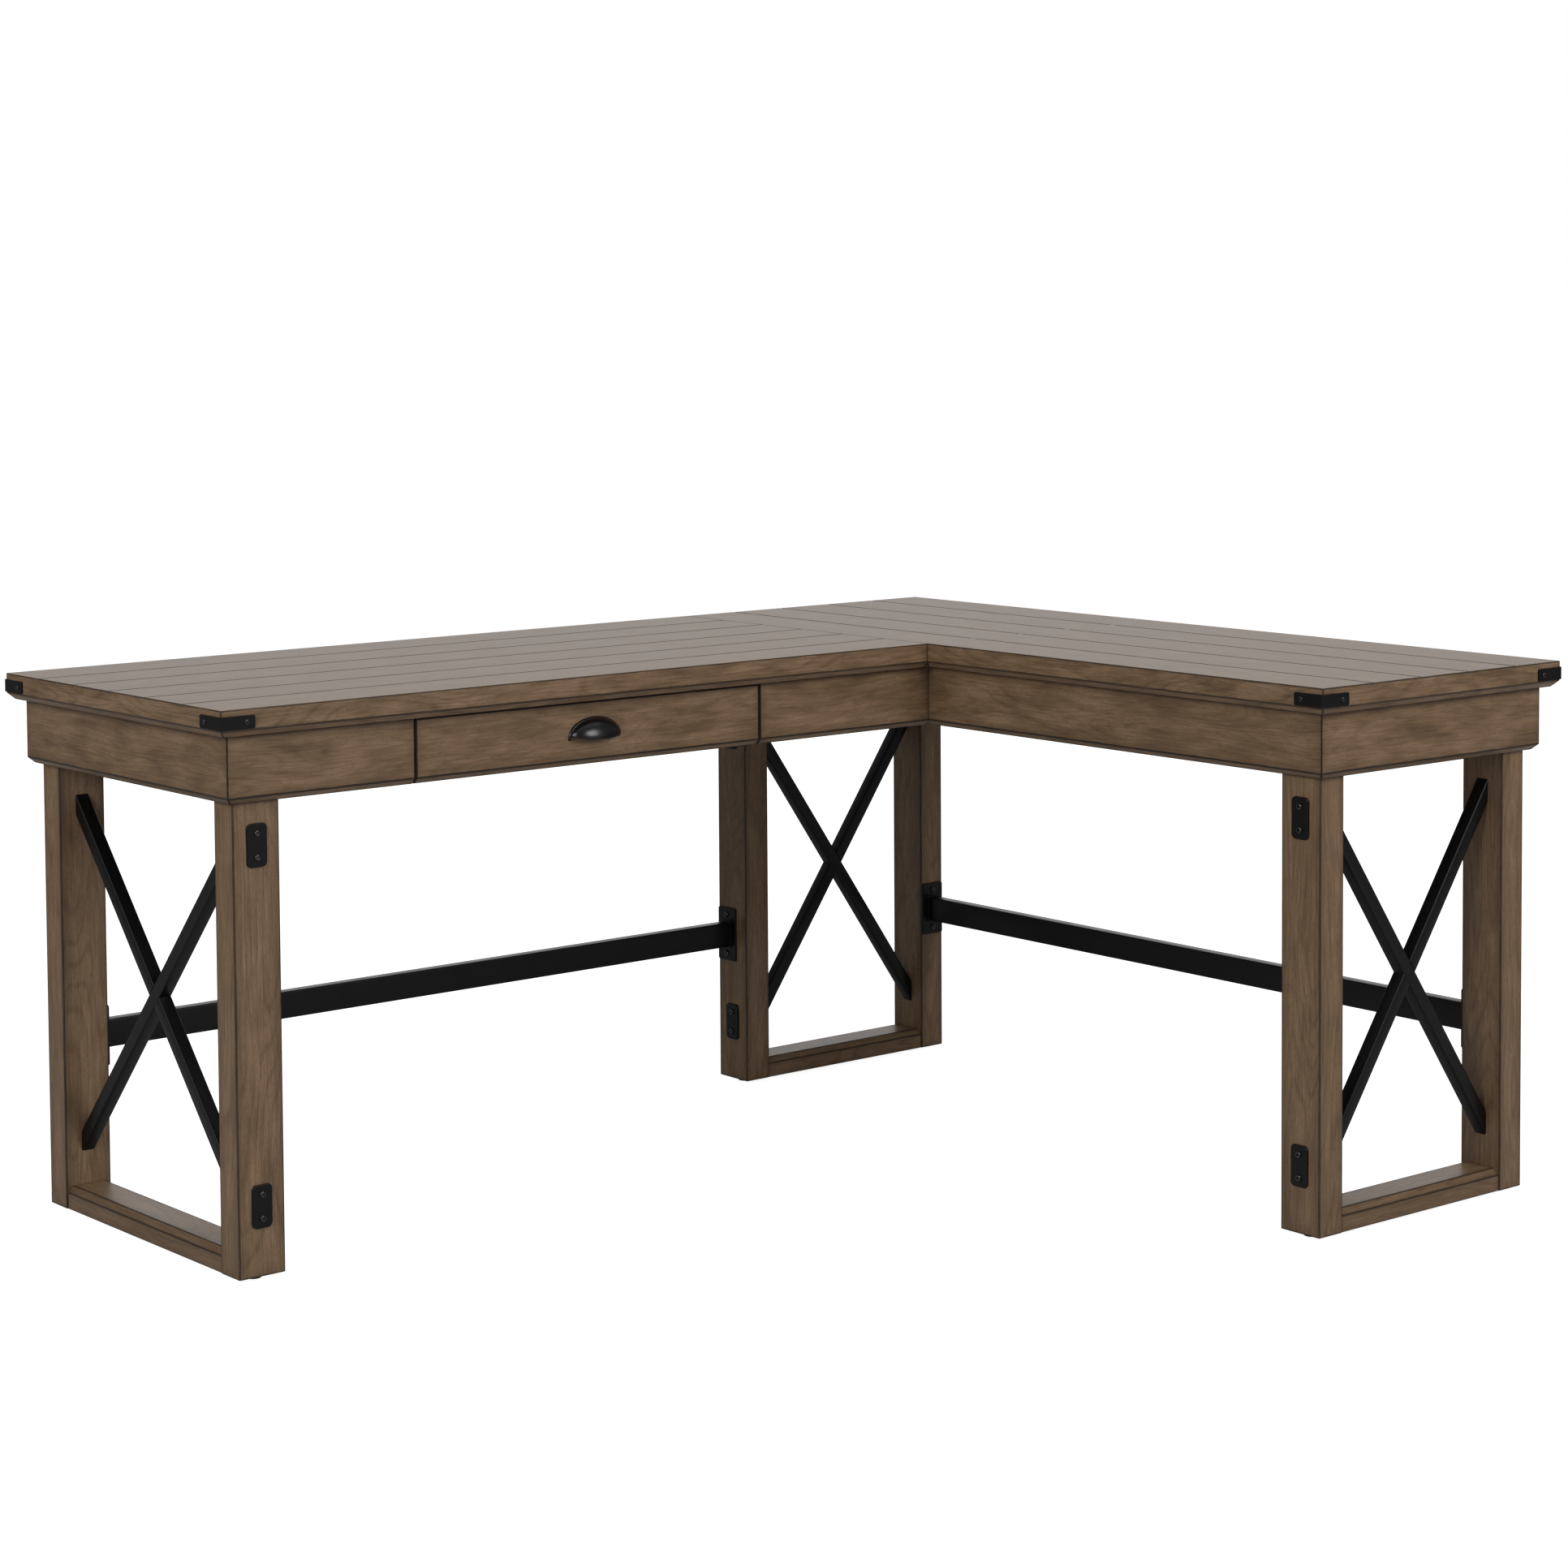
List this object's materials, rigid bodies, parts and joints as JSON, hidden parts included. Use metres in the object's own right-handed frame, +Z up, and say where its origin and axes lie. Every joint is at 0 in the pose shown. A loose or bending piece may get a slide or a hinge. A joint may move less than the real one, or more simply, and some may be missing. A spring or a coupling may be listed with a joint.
{
  "type": "corner desk",
  "caption": "L-shaped corner desk with plank-grooved wood tops, a shallow drawer with a cup pull, and wooden leg frames braced by black steel X bars and stretchers.",
  "frame": {"origin": "centre of the footprint's bounding box, on the floor", "axes": "+X along the main desk, from its free end to the return; +Y from the user to the wall; +Z up"},
  "size_m": [1.7222, 1.3822, 0.762],
  "materials": {
    "stained_wood": "satin",
    "frame_wood": "satin",
    "drawer_board": "satin",
    "black_steel": "satin",
    "black_bolt": "satin",
    "zinc_screw": "zinc plated",
    "slide_steel": "zinc plated",
    "pull_enamel": "gloss",
    "glide_plastic": "moulded"
  },
  "bodies": {
    "desk": {"main_top": "stained_wood", "return_top": "stained_wood", "front_panel_left": "stained_wood", "front_panel_right": "stained_wood", "main_end_apron": "stained_wood", "main_back_apron": "stained_wood", "main_inner_apron": "stained_wood", "return_inner_apron": "stained_wood", "return_front_apron": "stained_wood", "return_outer_apron": "stained_wood", "return_back_apron": "stained_wood", "left_leg_front": "stained_wood", "left_leg_rear": "stained_wood", "back_leg_inner": "stained_wood", "back_leg_outer": "stained_wood", "front_leg_inner": "stained_wood", "front_leg_outer": "stained_wood", "left_floor_rail": "stained_wood", "back_floor_rail": "stained_wood", "front_floor_rail": "stained_wood", "drawer_partition_left": "frame_wood", "drawer_partition_right": "frame_wood", "left_top_rail": "frame_wood", "back_top_rail": "frame_wood", "front_top_rail": "frame_wood", "corner_blocks": "frame_wood", "left_brace_bar": "black_steel", "left_brace_halves": "black_steel", "back_brace_bar": "black_steel", "back_brace_halves": "black_steel", "front_brace_bar": "black_steel", "front_brace_halves": "black_steel", "main_stretcher": "black_steel", "return_stretcher": "black_steel", "stretcher_flanges": "black_steel", "leg_plates": "black_steel", "corner_brackets": "black_steel", "leg_plate_bolts": "black_bolt", "stretcher_bolts": "black_bolt", "bracket_screws": "black_bolt", "block_screws": "zinc_screw", "top_screws": "zinc_screw", "slide_screws": "zinc_screw", "joining_bolts": "zinc_screw", "slide_case_left": "slide_steel", "slide_case_right": "slide_steel", "glides": "glide_plastic"},
    "drawer": {"drawer_front": "stained_wood", "drawer_box_front": "drawer_board", "drawer_side_left": "drawer_board", "drawer_side_right": "drawer_board", "drawer_box_back": "drawer_board", "drawer_bottom": "drawer_board", "cup_pull": "pull_enamel", "pull_screws": "zinc_screw", "drawer_front_screws": "zinc_screw", "slide_runner_left": "slide_steel", "slide_runner_right": "slide_steel"},
    "slide_carrier_left": {"slide_carrier_left": "slide_steel"},
    "slide_carrier_right": {"slide_carrier_right": "slide_steel"}
  },
  "joints": [
    {"name": "drawer_slide", "type": "slide", "parent": "desk", "child": "drawer", "axis": [0, -1, 0], "range_m": [0, 0.36]},
    {"name": "left_carrier_slide", "type": "slide", "parent": "desk", "child": "slide_carrier_left", "axis": [0, -1, 0], "range_m": [0, 0.18]},
    {"name": "right_carrier_slide", "type": "slide", "parent": "desk", "child": "slide_carrier_right", "axis": [0, -1, 0], "range_m": [0, 0.18]}
  ],
  "couplings": [
    {"joint": "left_carrier_slide", "follows": "drawer_slide", "ratio": 0.5},
    {"joint": "right_carrier_slide", "follows": "drawer_slide", "ratio": 0.5}
  ]
}
